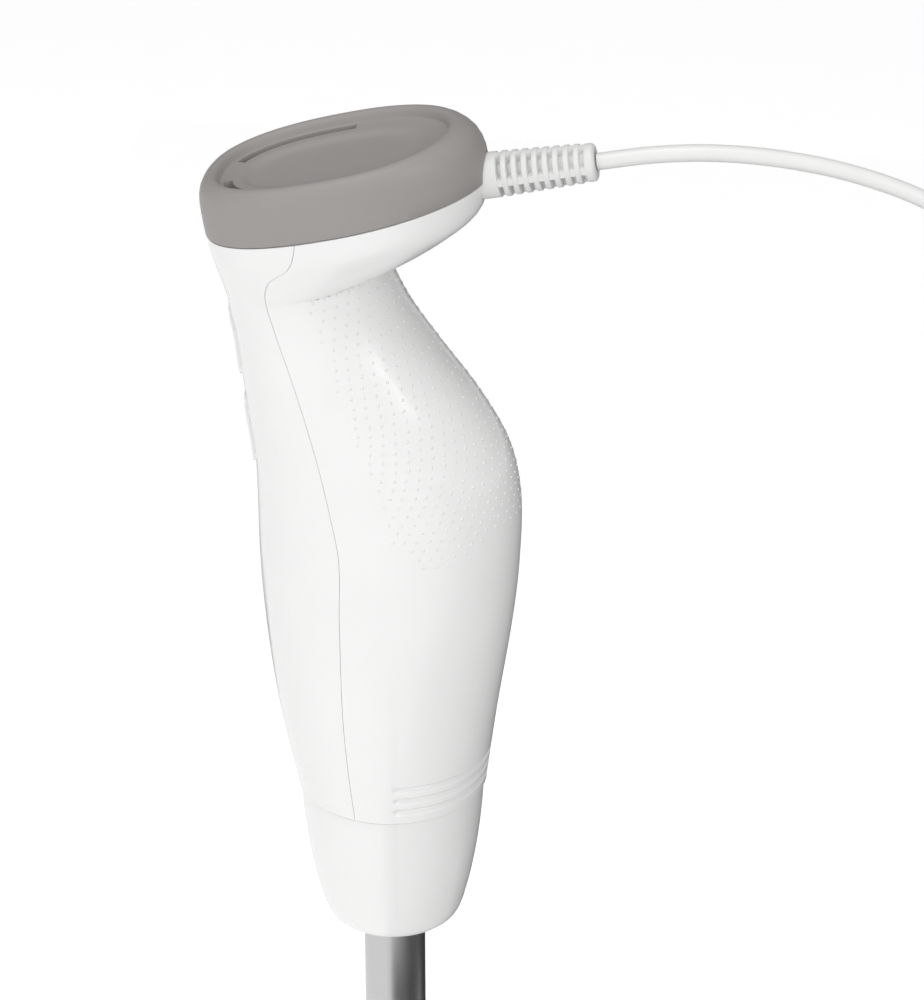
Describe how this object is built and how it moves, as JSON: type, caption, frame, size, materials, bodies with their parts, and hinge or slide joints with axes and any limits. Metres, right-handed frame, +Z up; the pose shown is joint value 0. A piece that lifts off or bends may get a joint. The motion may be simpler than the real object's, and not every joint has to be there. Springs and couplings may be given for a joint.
{
  "type": "hand blender",
  "caption": "Corded hand blender: curved grip with a tilted soft grey head cap and two front buttons, and a pull-off steel foot with a bell guard over a spinning blade.",
  "frame": {"origin": "on the plane that the bell rim stands on, under the middle of the blender's box measured without its cord, plug and strain relief", "axes": "+Z up along the drive axis; +X towards the back, where the cord leaves the head; the buttons face -X; +Y completes the right-handed frame"},
  "size_m": [0.2487, 0.1066, 0.4051],
  "materials": {
    "white_plastic": "satin",
    "soft_grey": "matte",
    "white_cord": "satin",
    "steel": "satin",
    "pin_nickel": "polished",
    "motor_steel": "satin",
    "black_plastic": "matte",
    "seal_rubber": "matte",
    "carbon": "matte",
    "magnet": "matte",
    "copper": "satin",
    "bronze": "satin",
    "board_green": "satin"
  },
  "bodies": {
    "handle": {"rear_shell": "white_plastic", "front_shell": "white_plastic", "top_cap": "soft_grey", "strain_relief": "white_cord", "cord_inner_end": "white_cord", "speed_switch": "black_plastic", "turbo_switch": "black_plastic", "circuit_board": "board_green", "bridge_rectifier": "black_plastic", "filter_capacitor": "black_plastic", "line_choke": "copper", "motor_can": "motor_steel", "front_magnet": "magnet", "rear_magnet": "magnet", "front_brush": "carbon", "rear_brush": "carbon", "motor_end_cap": "black_plastic", "upper_bearing": "bronze", "lower_bearing": "bronze", "lower_motor_mount": "seal_rubber", "upper_motor_mount": "seal_rubber", "base_screw_1": "steel", "base_screw_2": "steel", "base_screw_3": "steel", "motor_base": "white_plastic", "output_seal": "seal_rubber", "clamp_screw_1": "steel", "clamp_screw_2": "steel", "cord_clamp": "black_plastic", "power_cord": "white_cord", "cord_coil": "white_cord", "cord_tail": "white_cord", "cord_tie": "black_plastic", "plug_body": "white_cord", "plug_relief": "white_cord", "plug_pin_1": "pin_nickel", "plug_pin_2": "pin_nickel"},
    "speed_button": {"speed_button": "white_plastic"},
    "turbo_button": {"turbo_button": "white_plastic"},
    "speed_plunger": {"speed_switch_plunger": "black_plastic"},
    "turbo_plunger": {"turbo_switch_plunger": "black_plastic"},
    "rotor": {"motor_shaft": "steel", "armature_core": "motor_steel", "upper_winding": "copper", "lower_winding": "copper", "commutator": "copper", "cooling_fan": "black_plastic", "drive_coupler": "steel"},
    "foot": {"foot_collar": "white_plastic", "shaft_tube": "steel", "bell_guard": "steel", "blade_seal": "seal_rubber", "lower_bush": "bronze", "middle_guide": "black_plastic", "upper_bush": "bronze"},
    "blade_drive": {"drive_rod": "steel", "foot_coupler": "black_plastic", "blade": "steel", "blade_nut": "steel"}
  },
  "joints": [
    {"name": "speed_button_press", "type": "slide", "parent": "handle", "child": "speed_button", "axis": [1, 0, 0], "range_m": [0, 0.002], "stiffness_N_per_m": 600, "springref_m": -0.001},
    {"name": "turbo_button_press", "type": "slide", "parent": "handle", "child": "turbo_button", "axis": [1, 0, 0], "range_m": [0, 0.002], "stiffness_N_per_m": 600, "springref_m": -0.001},
    {"name": "speed_plunger_slide", "type": "slide", "parent": "handle", "child": "speed_plunger", "axis": [1, 0, 0], "range_m": [0, 0.002]},
    {"name": "turbo_plunger_slide", "type": "slide", "parent": "handle", "child": "turbo_plunger", "axis": [1, 0, 0], "range_m": [0, 0.002]},
    {"name": "motor_spin", "type": "hinge", "parent": "handle", "child": "rotor", "pos_m": [0.00696, 0, 0.24], "axis": [0, 0, 1], "continuous": true},
    {"name": "foot_pull", "type": "slide", "parent": "handle", "child": "foot", "axis": [0, 0, -1], "range_m": [0, 0.05]},
    {"name": "blade_spin", "type": "hinge", "parent": "foot", "child": "blade_drive", "pos_m": [0.00696, 0, 0.09], "axis": [0, 0, 1], "continuous": true}
  ],
  "couplings": [
    {"joint": "speed_plunger_slide", "follows": "speed_button_press", "ratio": 1},
    {"joint": "turbo_plunger_slide", "follows": "turbo_button_press", "ratio": 1},
    {"joint": "blade_spin", "follows": "motor_spin", "ratio": 1}
  ]
}
